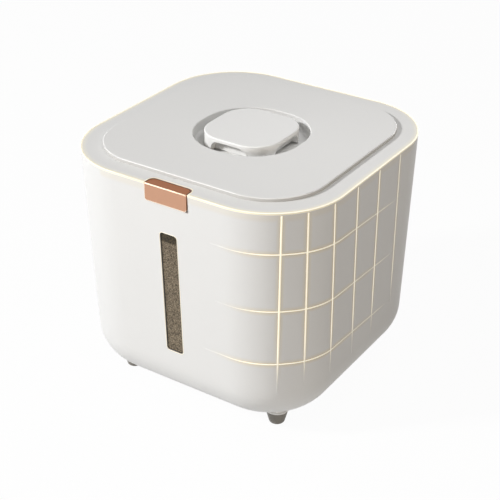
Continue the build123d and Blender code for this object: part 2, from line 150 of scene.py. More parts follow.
class BoxForm(bpy.types.PropertyGroup):
    """Sizes of the moulded box that its lines and tints follow."""

    corner_radius: length_setting("Corner radius", "Radius of the box's corners at the rim", 0.069)
    lean: share_setting("Lean", "How far the wall leans in per unit of depth", 0.033)
    rim_height: length_setting("Rim height", "Depth of the rim's lower edge under its top", 0.0045)
    panel_margin: length_setting("Panel margin", "Distance of the raised panel from the rim", 0.0185)
    panel_corner: length_setting("Panel corner", "Corner radius of the raised panel", 0.052)
    seat_side_gap: length_setting("Seat gap", "Gap between the latch and its seat at the sides", 0.0007)
    seat_rear_gap: length_setting("Seat rear gap", "Gap between the latch and its seat at the rear", 0.0014)
    seat_corner: length_setting("Seat corner", "Corner radius of the latch's seat", 0.0057)
    window_flange: length_setting("Window flange", "How far the window seal reaches behind the wall", 0.005)
    window_corner: length_setting("Window corner", "Corner radius of the window", 0.0032)
    spring_wire: length_setting("Spring wire", "Radius of the springs' wire", 0.0002)
    spring_turns: IntProperty(name="Spring turns", description="Turns of each spring", default=3, min=1)


class InlaidLines(bpy.types.PropertyGroup):
    """Thin raised lines round the tub's front right corner.

    Places are measured along the rim from the corner's middle, and depths from the rim's top.
    """

    upright_tops: lines_setting(
        "Upright tops", "Places of the uprights at the rim",
        (-0.0066, 0.0151, 0.0415, 0.0764, 0.1131, 0.1494),
    )
    upright_ends: lines_setting(
        "Upright ends", "Places of the uprights at their lower ends",
        (-0.0078, 0.0181, 0.0516, 0.0896, 0.1242, 0.1589),
    )
    upright_start: length_setting("Upright start", "Depth at which the uprights start", 0.0025)
    upright_depths: lines_setting(
        "Upright depths", "Depth at which each upright ends",
        (0.175, 0.171, 0.172, 0.174, 0.175, 0.158),
    )
    upright_strength: lines_setting(
        "Upright strength", "Brightness of each upright", (1.0, 1.0, 1.0, 0.95, 0.9, 0.6), unit="NONE"
    )
    row_depths: lines_setting("Row depths", "Depth of the rows at the corner", (0.0375, 0.0917, 0.1445))
    row_starts: lines_setting("Row starts", "Front ends of the rows", (-0.068, -0.065, -0.078))
    row_fade: length_setting("Row fade", "Length over which the rows come up on the front", 0.05)
    row_end: length_setting("Row end", "Rear end of the rows", 0.157)
    row_fall: share_setting("Row fall", "Fall of the rows towards the rear", 0.055)
    upright_width: length_setting("Upright width", "Width of the upright lines", 0.0014)
    row_width: length_setting("Row width", "Width of the level lines", 0.001)
    lift: length_setting("Lift", "Height of a line over the wall", 0.00018)
    sink: length_setting("Sink", "Depth of a line's root in the wall", 0.0004)
    steps: IntProperty(name="Steps", description="Rings along each upright", default=96, min=8)


class EdgeLines(bpy.types.PropertyGroup):
    """Fine lines on the edges of the lid, the latch, its seat and the window: gold lines, painted highlights
    and a painted shadow.
    """

    rim_width: length_setting("Rim width", "Width of the line on the lid's upper edge", 0.001)
    rim_inset: length_setting("Rim inset", "Distance of that line from the rim's outer face", 0.00025)
    latch_inset: length_setting("Latch inset", "Distance of the latch's lines from its edges", 0.00035)
    latch_top_width: length_setting("Latch top width", "Width of the line on the latch's upper edge", 0.0011)
    border_width: length_setting("Border width", "Width of the border on the latch's front", 0.0005)
    border_drop: length_setting("Border drop", "Depth of the border's end under the latch's top", 0.00105)
    border_corner: length_setting("Border corner", "Corner radius of the border", 0.00175)
    # Width of the painted shadow line round the thumb pad
    pad_width: length_setting("Pad line width", "Width of the dark line round the thumb pad", 0.0008)
    # Width of the painted highlight round the latch's seat
    seat_width: length_setting("Seat width", "Width of the line round the latch's seat", 0.001)
    front_gap: length_setting("Front gap", "Distance of the pad and seat lines from the front", 0.0015)
    # Size and place of the window's painted highlight
    lip_width: length_setting("Lip width", "Width of the window's lip", 0.00065)
    lip_gap: length_setting("Lip gap", "Distance of the lip's middle from the window", 0.00025)
    lift: length_setting("Lift", "Height of a line over its face", 0.0002)
    sink: length_setting("Sink", "Depth of a line's root in its face", 0.0004)


class StageSettings(bpy.types.PropertyGroup):
    """Camera, lamps and floor."""

    camera_place: FloatVectorProperty(
        name="Camera", description="Place of the camera", default=(0.53319, -0.81033, 0.66647),
        size=3, subtype="TRANSLATION", unit="LENGTH",
    )
    camera_turn: angle_setting("Turn", "Turn of the camera round the box", 33.589)
    camera_tilt: angle_setting("Tilt", "Downward tilt of the camera", 29.936)
    lens: FloatProperty(
        name="Lens", description="Focal length in millimetres", default=87.41, subtype="DISTANCE_CAMERA"
    )
    sky: colour_setting("Sky", "Soft light from all round", (0.1, 0.1, 0.1))
    key_power: power_setting("Key", "Small strong lamp in front and to the left", 45.0)
    low_power: power_setting("Low front", "Lamp in front, close over the floor", 12.3)
    top_power: power_setting("Top", "Lamp over the lid's right side", 0.43)
    side_power: power_setting("Side", "Warm lamp on the right", 6.6)
    side_colour: colour_setting("Side colour", "Colour of the lamp on the right", (1.0, 0.8, 0.55))
    rear_power: power_setting("Rear fill", "Lamp behind, level with the tub", 16.0)
    left_power: power_setting("Left fill", "Lamp behind and to the left, level with the tub", 8.0)
    floor_reach: length_setting("Floor reach", "Half the width of the floor", 12.0)
    floor_tone: share_setting("Floor", "Tone that the floor throws back", 0.5)
    floor_seen: share_setting("Floor seen", "Tone of the matt floor where it is seen", 0.95)
    floor_white: share_setting("Floor white", "Share of plain white seen on the floor", 0.96)


class StorageBox(bpy.types.PropertyGroup):
    """All settings of the storage box."""

    finishes: PointerProperty(type=BoxFinishes, name="Finishes", description="Colours and tints")
    form: PointerProperty(type=BoxForm, name="Form", description="Sizes of the moulded box")
    lines: PointerProperty(type=InlaidLines, name="Inlaid lines", description="Lines on the tub")
    edges: PointerProperty(type=EdgeLines, name="Edge lines", description="Lines on edges")
    stage: PointerProperty(type=StageSettings, name="Stage", description="Camera, lamps and floor")


# Shader node helpers


def add_node(tree, kind, **values):
    """A new node, with its properties or unlinked inputs set by name."""
    node = tree.nodes.new(kind)
    for name, value in values.items():
        if hasattr(node, name):
            setattr(node, name, value)
        else:
            node.inputs[name.replace("_", " ").title()].default_value = value
    return node


def link(tree, source, target):
    """Joins two sockets."""
    tree.links.new(source, target)


def feed(tree, value, socket):
    """Gives a socket its value, which is another socket, a colour or a number."""
    if isinstance(value, bpy.types.NodeSocket):
        link(tree, value, socket)
    elif socket.type == "RGBA":
        socket.default_value = (*value, 1.0)
    else:
        socket.default_value = value


def calculate(tree, operation, *values):
    """Math node on values that are each a socket or a number."""
    node = add_node(tree, "ShaderNodeMath", operation=operation)
    for value, socket in zip(values, node.inputs):
        feed(tree, value, socket)
    return node.outputs[0]


def weigh(tree, first, second, share):
    """Sum of the first socket times its share and the second times the rest."""
    parts = [calculate(tree, "MULTIPLY", first, share), calculate(tree, "MULTIPLY", second, 1 - share)]
    return calculate(tree, "ADD", *parts)


def hypotenuse(tree, first, second):
    """Root of the sum of two squares."""
    squares = [calculate(tree, "MULTIPLY", side, side) for side in (first, second)]
    return calculate(tree, "SQRT", calculate(tree, "ADD", *squares))


def split_vector(tree, vector):
    """The X, Y and Z of a vector, as sockets."""
    node = add_node(tree, "ShaderNodeSeparateXYZ")
    link(tree, vector, node.inputs[0])
    return node.outputs


def stretch(tree, vector, scale):
    """Vector scaled along each axis."""
    node = add_node(tree, "ShaderNodeMapping")
    node.inputs["Scale"].default_value = scale
    link(tree, vector, node.inputs["Vector"])
    return node.outputs[0]


def blend_colours(tree, share, first, second):
    """Mix of two colours by a share, each a socket or a value."""
    node = add_node(tree, "ShaderNodeMix", data_type="RGBA")
    for value, socket in zip((share, first, second), (node.inputs[0], node.inputs[6], node.inputs[7])):
        feed(tree, value, socket)
    return node.outputs[2]


def scale_colour(tree, colour, amount):
    """Colour times an amount, both sockets."""
    node = add_node(tree, "ShaderNodeVectorMath", operation="SCALE")
    link(tree, colour, node.inputs[0])
    link(tree, amount, node.inputs["Scale"])
    return node.outputs[0]


def noise(tree, vector, scale, detail=2.0, roughness=0.5):
    """Noise texture on a vector, as a value socket."""
    node = add_node(tree, "ShaderNodeTexNoise", detail=detail, roughness=roughness)
    link(tree, vector, node.inputs["Vector"])
    feed(tree, scale, node.inputs["Scale"])
    return node.outputs[0]


def remap(tree, value, low, high, to_low, to_high):
    """Value carried smoothly from one range to another, held at its ends."""
    node = add_node(tree, "ShaderNodeMapRange", interpolation_type="SMOOTHSTEP")
    link(tree, value, node.inputs[0])
    for socket, number in zip(node.inputs[1:5], (low, high, to_low, to_high)):
        socket.default_value = number
    return node.outputs[0]


# Shader groups


surface_inputs = (
    ("Vector", "Vector"), ("Colour", "Color"),
    ("Drift", "Float"), ("Gloss", "Float"), ("Gloss Drift", "Float"),
)
surface_outputs = (("Colour", "Color"), ("Roughness", "Float"), ("Height", "Float"))


def new_group(name, inputs, outputs):
    """Empty shader group with named sockets."""
    tree = bpy.data.node_groups.new(name, "ShaderNodeTree")
    for way, sockets in (("INPUT", inputs), ("OUTPUT", outputs)):
        for label, kind in sockets:
            tree.interface.new_socket(name=label, in_out=way, socket_type="NodeSocket" + kind)
    return tree, add_node(tree, "NodeGroupInput"), add_node(tree, "NodeGroupOutput")


def new_mask(name):
    """Empty shader group that turns a place into a mask, with its two sockets."""
    tree, start, end = new_group(name, (("Vector", "Vector"),), (("Mask", "Float"),))
    return tree, start.outputs["Vector"], end.inputs["Mask"]


def vary_surface(tree, start, end, pattern):
    """Colour and roughness of a group, which drift with a pattern about its middle."""
    pattern_middle = 0.5
    centred = calculate(tree, "SUBTRACT", pattern, pattern_middle)
    tone = calculate(tree, "MULTIPLY_ADD", centred, start.outputs["Drift"], 1.0)
    link(tree, scale_colour(tree, start.outputs["Colour"], tone), end.inputs["Colour"])
    drift = calculate(tree, "MULTIPLY", centred, start.outputs["Gloss Drift"])
    link(tree, calculate(tree, "ADD", drift, start.outputs["Gloss"]), end.inputs["Roughness"])


def moulded_group():
    """Moulded surface: slow drift of tone and gloss, and a fine grain in the height."""
    name = "moulded_surface"
    if name in bpy.data.node_groups:
        return bpy.data.node_groups[name]
    tree, start, end = new_group(name, (*surface_inputs, ("Grain", "Float")), surface_outputs)
    vector = start.outputs["Vector"]
    slow = noise(tree, vector, scale=16.0, detail=3.0)
    mottle = noise(tree, vector, scale=240.0)
    vary_surface(tree, start, end, weigh(tree, slow, mottle, share=0.7))
    grain = noise(tree, vector, start.outputs["Grain"], detail=3.0, roughness=0.6)
    link(tree, grain, end.inputs["Height"])
    return tree


def brushed_group():
    """Brushed metal: fine streaks along X in tone, gloss and height."""
    name = "brushed_metal"
    if name in bpy.data.node_groups:
        return bpy.data.node_groups[name]
    tree, start, end = new_group(name, surface_inputs, surface_outputs)
    vector = start.outputs["Vector"]
    streaks = noise(tree, stretch(tree, vector, (60.0, 3200.0, 3200.0)), scale=1.0, detail=3.0)
    cloud = noise(tree, vector, scale=90.0)
    vary_surface(tree, start, end, weigh(tree, streaks, cloud, share=0.6))
    link(tree, streaks, end.inputs["Height"])
    return tree


def along_wall(tree, vector, form):
    """Arc along the rim, depth under it and distance over the tub's outer wall, as sockets.

    The arc is the corner radius times the angle about the front right corner's centre, and
    the straight way along the front or the right side is added to it.
    """
    parts = split_vector(tree, vector)
    radius = form.corner_radius
    centre = rim_half - radius
    depth = calculate(tree, "SUBTRACT", rim_top, parts["Z"])
    right = calculate(tree, "SUBTRACT", parts["X"], float(rim_centre[0]) + centre)
    back = calculate(tree, "SUBTRACT", parts["Y"], float(rim_centre[1]) - centre)
    out_right = calculate(tree, "MAXIMUM", right, 0.0)
    out_front = calculate(tree, "MINIMUM", back, 0.0)
    angle = calculate(tree, "ARCTAN2", out_front, out_right)
    bend = calculate(tree, "MULTIPLY", calculate(tree, "ADD", angle, math.pi / 4), radius)
    along_right = calculate(tree, "MAXIMUM", back, 0.0)
    along_front = calculate(tree, "MINIMUM", right, 0.0)
    arc = calculate(tree, "ADD", bend, calculate(tree, "ADD", along_right, along_front))
    outer = calculate(tree, "SUBTRACT", radius, calculate(tree, "MULTIPLY", depth, form.lean))
    over = calculate(tree, "SUBTRACT", hypotenuse(tree, out_right, out_front), outer)
    return arc, depth, over


def painted_glow_group(box):
    """Warm light painted on the outer wall beside the inlaid lines and under the rim, as a mask: a painted
    glow.

    It falls smoothly with the distance from the nearest line and fades as that line does.
    """
    # Strength of the painted glow under the rim
    rim_glow = 0.4
    upright_fade = 0.6
    rear_fade = 0.06
    skin_low, skin_high = -0.0015, -0.0008
    form, lines = box.form, box.lines
    tree, vector, mask = new_mask("line_glow")
    arc, depth, over = along_wall(tree, vector, form)
    width = box.finishes.painted_glow_width
    beams = []
    for top, foot, length, strength in zip(
        lines.upright_tops, lines.upright_ends, lines.upright_depths, lines.upright_strength
    ):
        place = calculate(tree, "MULTIPLY", depth, (foot - top) / length)
        gap = calculate(tree, "SUBTRACT", arc, calculate(tree, "ADD", place, top))
        beams.append((gap, remap(tree, depth, upright_fade * length, length, strength, 0.0)))
    fall = calculate(tree, "MULTIPLY", calculate(tree, "MAXIMUM", arc, 0.0), lines.row_fall)
    for row_depth, row_start in zip(lines.row_depths, lines.row_starts):
        gap = calculate(tree, "SUBTRACT", depth, calculate(tree, "ADD", fall, row_depth))
        left = remap(tree, arc, row_start, row_start + lines.row_fade, 0.0, 1.0)
        right = remap(tree, arc, rear_fade, lines.row_end, 1.0, 0.0)
        beams.append((gap, calculate(tree, "MULTIPLY", left, right)))
    glow = remap(tree, depth, form.rim_height, form.rim_height + width, rim_glow, 0.0)
    for gap, strength in beams:
        near = remap(tree, calculate(tree, "ABSOLUTE", gap), 0.0, width, 1.0, 0.0)
        glow = calculate(tree, "MAXIMUM", glow, calculate(tree, "MULTIPLY", near, strength))
    outside = remap(tree, over, skin_low, skin_high, 0.0, 1.0)
    link(tree, calculate(tree, "MULTIPLY", glow, outside), mask)
    return tree


def over_outline(tree, vector, margin, corner):
    """Level distance over a square outline with round corners, and the height, as sockets.

    The outline lies a margin inside the rim. The distance is the length of what reaches
    beyond the corner centres, less the corner radius.
    """
    parts = split_vector(tree, vector)
    straight = rim_half - margin - corner
    beyond = []
    for axis, middle in (("X", rim_centre[0]), ("Y", rim_centre[1])):
        from_middle = calculate(tree, "ABSOLUTE", calculate(tree, "SUBTRACT", parts[axis], float(middle)))
        beyond.append(calculate(tree, "MAXIMUM", calculate(tree, "SUBTRACT", from_middle, straight), 0.0))
    return calculate(tree, "SUBTRACT", hypotenuse(tree, *beyond), corner), parts["Z"]


def panel_shade_group(box):
    """Painted shade on the edge of the lid's raised panel, from the ring up to its rounding, as a mask."""
    tree, vector, mask = new_mask("panel_edge")
    gap, height = over_outline(tree, vector, box.form.panel_margin, box.form.panel_corner)
    soft = box.finishes.painted_light_soft
    top = rim_top + box.finishes.panel_shade_height
    edge = remap(tree, gap, -2 * soft, -soft, 0.0, 1.0)
    for limit in (
        remap(tree, gap, 0.0, soft / 2, 1.0, 0.0),
        remap(tree, height, rim_top - soft, rim_top, 0.0, 1.0),
        remap(tree, height, top - soft, top, 1.0, 0.0),
    ):
        edge = calculate(tree, "MULTIPLY", edge, limit)
    link(tree, edge, mask)
    return tree


def painted_rim_glow_group(box):
    """Warm light painted on the lid's top beside its bright rim, as a mask that falls off inwards: a painted
    glow.
    """
    tree, vector, mask = new_mask("rim_glow")
    gap, height = over_outline(tree, vector, 0.0, box.form.corner_radius)
    near_rim = remap(tree, gap, -box.finishes.rim_painted_glow_width, 0.0, 0.0, 1.0)
    top = remap(tree, height, rim_top - box.finishes.painted_light_soft, rim_top, 0.0, 1.0)
    link(tree, calculate(tree, "MULTIPLY", near_rim, top), mask)
    return tree


# Materials


def new_material(name):
    """New material with its shader and its texture coordinates."""
    material = bpy.data.materials.new(name)
    material.use_nodes = True
    tree = material.node_tree
    shader = next(node for node in tree.nodes if node.type == "BSDF_PRINCIPLED")
    coords = add_node(tree, "ShaderNodeTexCoord")
    return material, tree, shader, coords


def lay_surface(tree, shader, coords, group, colour, distance, strength, **values):
    """Surface group on Object coordinates, fed into the shader's colour, gloss and bump.

    Distance and strength are the bump's, and the values are the group's other inputs by name.
    """
    surface = add_node(tree, "ShaderNodeGroup", node_tree=group, **values)
    link(tree, coords.outputs["Object"], surface.inputs["Vector"])
    feed(tree, colour, surface.inputs["Colour"])
    link(tree, surface.outputs["Colour"], shader.inputs["Base Color"])
    link(tree, surface.outputs["Roughness"], shader.inputs["Roughness"])
    bump = add_node(tree, "ShaderNodeBump", strength=strength, distance=distance)
    link(tree, surface.outputs["Height"], bump.inputs["Height"])
    link(tree, bump.outputs[0], shader.inputs["Normal"])
    return surface


def satin_plastic(name, colour, *tints, gloss, grain):
    """Satin moulded plastic with a slow drift of tone, and painted glow and painted shade laid over it as
    tints by mask groups.
    """
    material, tree, shader, coords = new_material(name)
    for group, tint in tints:
        mask = add_node(tree, "ShaderNodeGroup", node_tree=group)
        link(tree, coords.outputs["Object"], mask.inputs["Vector"])
        colour = blend_colours(tree, mask.outputs["Mask"], colour, tint)
    lay_surface(
        tree, shader, coords, moulded_group(), colour, distance=0.00002, strength=0.35,
        drift=0.035, gloss=gloss, gloss_drift=0.12, grain=grain,
    )
    shader.inputs["Specular IOR Level"].default_value = 0.45
    return material


def soft_rubber(name, colour, gloss):
    """Matt rubber or silicone with a dusty grain."""
    material, tree, shader, coords = new_material(name)
    lay_surface(
        tree, shader, coords, moulded_group(), colour, distance=0.00006, strength=0.5,
        drift=0.18, gloss=gloss, gloss_drift=0.2, grain=900.0,
    )
    shader.inputs["Specular IOR Level"].default_value = 0.35
    return material


def taupe_foot(name, colour):
    """Taupe foot with a mottled satin surface and little shine."""
    material, tree, shader, coords = new_material(name)
    lay_surface(
        tree, shader, coords, moulded_group(), colour, distance=0.00004, strength=0.4,
        drift=0.16, gloss=0.34, gloss_drift=0.2, grain=1100.0,
    )
    shader.inputs["Specular IOR Level"].default_value = 0.12
    return material


def plated_line(name, colour):
    """Pale plated trim: brushed, with a weak painted glow that stands in for its bright reflection."""
    material, tree, shader, coords = new_material(name)
    surface = lay_surface(
        tree, shader, coords, brushed_group(), colour, distance=0.00001, strength=0.2,
        drift=0.08, gloss=0.3, gloss_drift=0.1,
    )
    # Painted glow: the trim shines by its own light, though it is no lamp
    link(tree, surface.outputs["Colour"], shader.inputs["Emission Color"])
    shader.inputs["Emission Strength"].default_value = 0.2
    return material


def fading_line(name, colour, wall_colour, light):
    """Raised line whose gold and painted glow give way to the wall's white as its fade attribute falls; the
    glow stands in for the line's bright reflection.
    """
    material, tree, shader, coords = new_material(name)
    fade = add_node(tree, "ShaderNodeAttribute", attribute_name="fade").outputs["Fac"]
    shade = blend_colours(tree, fade, wall_colour, colour)
    lay_surface(
        tree, shader, coords, brushed_group(), shade, distance=0.00001, strength=0.2,
        drift=0.08, gloss=0.32, gloss_drift=0.1,
    )
    # Painted glow: the line shines by its own light, though it is no lamp
    glow = blend_colours(tree, fade, (0.0, 0.0, 0.0), colour)
    link(tree, glow, shader.inputs["Emission Color"])
    shader.inputs["Emission Strength"].default_value = light
    return material


def rose_metal(name, front, pad):
    """Brushed rose gold, deeper on the faces that look up: partly a two-tone finish, partly painted shade for
    the dimmer light on top.
    """
    material, tree, shader, coords = new_material(name)
    # Painted shade: faces that look up take the deeper colour
    upward = split_vector(tree, coords.outputs["Normal"])["Z"]
    upward = remap(tree, upward, low=0.75, high=0.95, to_low=0.0, to_high=1.0)
    shade = blend_colours(tree, upward, front, pad)
    lay_surface(
        tree, shader, coords, brushed_group(), shade, distance=0.000012, strength=0.3,
        drift=0.14, gloss=0.36, gloss_drift=0.16,
    )
    shader.inputs["Metallic"].default_value = 0.75
    return material


def brushed_steel(name, colour):
    """Brushed steel of pins, screws and springs."""
    material, tree, shader, coords = new_material(name)
    lay_surface(
        tree, shader, coords, brushed_group(), colour, distance=0.00001, strength=0.3,
        drift=0.25, gloss=0.34, gloss_drift=0.2,
    )
    shader.inputs["Metallic"].default_value = 1.0
    return material


def smoked_pane(name, finishes):
    """Smoked pane with a fine speckle and a band of painted shade along its upper edge."""
    gloss, gloss_drift = 0.12, 0.12
    material, tree, shader, coords = new_material(name)
    vector = coords.outputs["Object"]
    cells = add_node(tree, "ShaderNodeTexVoronoi", scale=1500.0)
    link(tree, stretch(tree, vector, (1.0, 1.0, 0.7)), cells.inputs["Vector"])
    cell_tone = split_vector(tree, cells.outputs["Color"])[0]
    cloud = noise(tree, vector, scale=1100.0, roughness=0.6)
    speckle = weigh(tree, cell_tone, cloud, share=0.65)
    level = remap(tree, speckle, low=0.15, high=0.85, to_low=0.35, to_high=1.65)
    height = split_vector(tree, vector)["Z"]
    band_foot = pane_top - finishes.band_depth
    upper = remap(tree, height, band_foot - finishes.band_soft, band_foot, 0.0, 1.0)
    # Painted shade along the pane's top
    shade = blend_colours(tree, upper, finishes.pane_tint, finishes.pane_shade_band)
    link(tree, scale_colour(tree, shade, level), shader.inputs["Base Color"])
    link(tree, calculate(tree, "MULTIPLY_ADD", cloud, gloss_drift, gloss), shader.inputs["Roughness"])
    shader.inputs["Transmission Weight"].default_value = 0.15
    shader.inputs["IOR"].default_value = 1.49
    shader.inputs["Specular IOR Level"].default_value = 0.25
    return material


def dress(material, *names):
    """Gives CAD nodes a material in every slot."""
    for name in names:
        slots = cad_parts[name].material_slots
        if not slots:
            raise RuntimeError(f"{name} has no material slot")
        for slot in slots:
            slot.material = material


# Surfaces


def ease(value, low, high):
    """Smooth step from 0 at low to 1 at high."""
    share = np.clip((value - low) / (high - low), 0.0, 1.0)
    return share * share * (3 - 2 * share)


def wall_points(form, arc, depth):
    """Points and outward normals on the tub's leaning outer wall.

    Arc is the way along the rim from the middle of the front right corner, positive
    towards the right side. Within an eighth of a turn the point lies on an arc about a
    fixed corner centre, at a radius that shrinks by the lean times the depth. Beyond it
    the point goes on along the straight front or right wall.
    """
    radius = form.corner_radius
    centre = rim_half - radius
    eighth = radius * math.pi / 4
    angle = np.clip(arc, -eighth, eighth) / radius - math.pi / 4
    reach = radius - form.lean * depth
    along_front = np.minimum(arc + eighth, 0.0)
    along_right = np.maximum(arc - eighth, 0.0)
    x = centre + reach * np.cos(angle) + along_front
    y = -centre + reach * np.sin(angle) + along_right
    points = np.stack((x + rim_centre[0], y + rim_centre[1], rim_top - depth), axis=-1)
    normals = np.stack((np.cos(angle), np.sin(angle), np.full_like(angle, -form.lean)), axis=-1)
    return points, normals / np.linalg.norm(normals, axis=-1, keepdims=True)


def bead(points, normals, width, lift, sink, sides=10, loop=False):
    """Closed bead along a path on a surface.

    Each ring is an oval: half the width times the cosine across the path, and along the
    normal the lift times the sine above the surface or the sink times it below. A loop
    joins its last ring to its first, and any other path is shut by a flat face at both
    ends. Returns the vertices, the faces and the ring of each vertex.
    """
    if loop:
        way = np.roll(points, -1, axis=0) - np.roll(points, 1, axis=0)
    else:
        way = np.gradient(points, axis=0)
    across = np.cross(normals, way)
    across /= np.linalg.norm(across, axis=1, keepdims=True)
    turn = np.linspace(0.0, 2 * math.pi, sides, endpoint=False)
    side = np.cos(turn)[None, :, None] * (width / 2)[:, None, None]
    rise = np.sin(turn)
    rise = np.where(rise > 0, rise * lift, rise * sink)[None, :, None]
    rings = points[:, None, :] + side * across[:, None, :] + rise * normals[:, None, :]
    count = len(points)
    index = np.arange(count * sides).reshape(count, sides)
    after = np.roll(index, -1, axis=1)
    last = count if loop else count - 1
    ahead = np.roll(np.arange(count), -1)[:last]
    quads = np.stack((index[:last], after[:last], after[ahead], index[ahead]), axis=-1).reshape(-1, 4)
    faces = quads.tolist()
    if not loop:
        faces += [index[0, ::-1].tolist(), index[-1].tolist()]
    return rings.reshape(-1, 3), faces, np.repeat(np.arange(count), sides)


def upright_bead(box, index):
    """Line from the rim down the wall.

    Its arc goes evenly from its top's place to its end's, and both its strength and its
    width ease down over its last part.
    """
    fade_from = 0.72
    taper_from = 0.8
    taper = 0.7
    lines = box.lines
    top, end = lines.upright_tops[index], lines.upright_ends[index]
    depth = np.linspace(lines.upright_start, lines.upright_depths[index], lines.steps)
    share = depth / lines.upright_depths[index]
    points, normals = wall_points(box.form, top + share * (end - top), depth)
    fade = lines.upright_strength[index] * (1 - ease(share, fade_from, 1.0))
    width = lines.upright_width * (1 - taper * ease(share, taper_from, 1.0))
    vertices, faces, ring = bead(points, normals, width, lines.lift, lines.sink)
    return vertices, faces, fade[ring]


def row_bead(box, index):
    """Level line round the corner, falling a little towards the rear.

    Its strength comes up on the front, loses a share just past the corner and the rest
    towards its rear end. Its width grows and shrinks with the ends and keeps a thin tip.
    """
    corner_loss = 0.6
    corner_fade = 0.1
    rear_fade = 0.12
    rear_taper = 0.14
    tip = 0.4
    lines = box.lines
    start, end = lines.row_starts[index], lines.row_end
    arc = np.linspace(start, end, 2 * lines.steps)
    depth = lines.row_depths[index] + lines.row_fall * np.maximum(arc, 0.0)
    points, normals = wall_points(box.form, arc, depth)
    left = ease(arc, start, start + lines.row_fade)
    right = 1 - corner_loss * ease(arc, 0.0, corner_fade) - (1 - corner_loss) * ease(arc, rear_fade, end)
    width = lines.row_width * (tip + (1 - tip) * np.minimum(left, 1 - ease(arc, rear_taper, end)))
    vertices, faces, ring = bead(points, normals, width, lines.lift, lines.sink)
    return vertices, faces, (left * right)[ring]


def edge_bead(edges, points, normal, width, fade, loop=False):
    """Fine bead along an edge, of even width and strength."""
    count = len(points)
    normals = np.tile(np.array(normal) / np.linalg.norm(normal), (count, 1))
    vertices, faces, ring = bead(points, normals, np.full(count, width), edges.lift, edges.sink, loop=loop)
    return vertices, faces, np.full(len(ring), fade)


def coil(middle, low, high, radius, wire, turns, steps=96):
    """Round wire wound into a spring: a circle about the middle that rises evenly by its turns."""
    angle = np.linspace(0.0, 2 * math.pi * turns, steps)
    outward = np.stack((np.cos(angle), np.sin(angle), np.zeros_like(angle)), axis=1)
    points = np.array((*middle, 0.0)) + radius * outward
    points[:, 2] = np.linspace(low + wire, high - wire, steps)
    vertices, faces, ring = bead(points, outward, np.full(steps, 2 * wire), wire, wire)
    return vertices, faces, np.ones(len(ring))


def round_frame(low, high, radius, steps=10):
    """Outline of a rectangle with round corners, as rows of across and up.

    Four quarter circles about the corner centres, from the upper right one on against the
    clock, and straight runs between them.
    """
    quarter = np.linspace(0.0, math.pi / 2, steps)
    corners = ((1, 1), (-1, 1), (-1, -1), (1, -1))
    middle = (np.array(low) + np.array(high)) / 2
    reach = (np.array(high) - np.array(low)) / 2 - radius
    arcs = []
    for turn, corner in enumerate(corners):
        angle = quarter + turn * math.pi / 2
        arcs.append(middle + reach * corner + radius * np.stack((np.cos(angle), np.sin(angle)), axis=1))
    return np.concatenate(arcs)


def hanging_frame(low, high, radius, steps=10):
    """The same outline without its upper side: down the left, along the foot and up the right."""
    foot = round_frame(low, high, radius, steps)[2 * steps:]
    return np.concatenate(([(low[0], high[1])], foot, [(high[0], high[1])]))


def lay(outline, facing, place):
    """A flat outline set up on a front plane, or laid level with its foot to the rear."""
    other = np.full(len(outline), place)
    if facing == "front":
        return np.stack((outline[:, 0], other, outline[:, 1]), axis=1)
    return np.stack((outline[:, 0], -outline[:, 1], other), axis=1)


def rim_path(box, steps=40):
    """Way along the lid's upper edge, from the latch's right round the box to its left.

    The rounded square of the rim, drawn in by the inset and turned so that it starts and
    ends at the front, with one more point on each side of the latch's seat.
    """
    inset = box.edges.rim_inset
    outline = round_frame(rim_low[:2] + inset, rim_high[:2] - inset, box.form.corner_radius - inset, steps)
    side = latch_high[0] + 2 * box.form.seat_side_gap
    front = rim_low[1] + inset
    outline = np.concatenate(([(side, front)], np.roll(outline, steps, axis=0), [(-side, front)]))
    return np.column_stack((outline, np.full(len(outline), rim_top)))


def add_piece(name, parts, material, body):
    """One mesh object from beads with a fade value per vertex, riding on a body."""
    vertices, faces, fades = [], [], []
    for points, quads, fade in parts:
        first = sum(len(block) for block in vertices)
        vertices.append(points)
        faces.extend([corner + first for corner in quad] for quad in quads)
        fades.append(fade)
    mesh = bpy.data.meshes.new(name)
    mesh.from_pydata(np.concatenate(vertices).tolist(), [], faces)
    if mesh.validate():
        raise RuntimeError(f"{name} has a faulty mesh")
    layer = mesh.attributes.new("fade", "FLOAT", "POINT")
    layer.data.foreach_set("value", np.concatenate(fades).astype(np.float32))
    mesh.polygons.foreach_set("use_smooth", np.ones(len(mesh.polygons), dtype=bool))
    mesh.materials.append(material)
    piece = bpy.data.objects.new(name, mesh)
    bpy.context.scene.collection.objects.link(piece)
    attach(piece, body)
    return piece


# Floor, light and camera


def seen_directly(tree):
    """Light Path mask of camera, mirror and see-through rays."""
    path = add_node(tree, "ShaderNodeLightPath")
    mirrored = calculate(tree, "MAXIMUM", path.outputs["Is Camera Ray"], path.outputs["Is Glossy Ray"])
    return calculate(tree, "MAXIMUM", mirrored, path.outputs["Is Transmission Ray"])


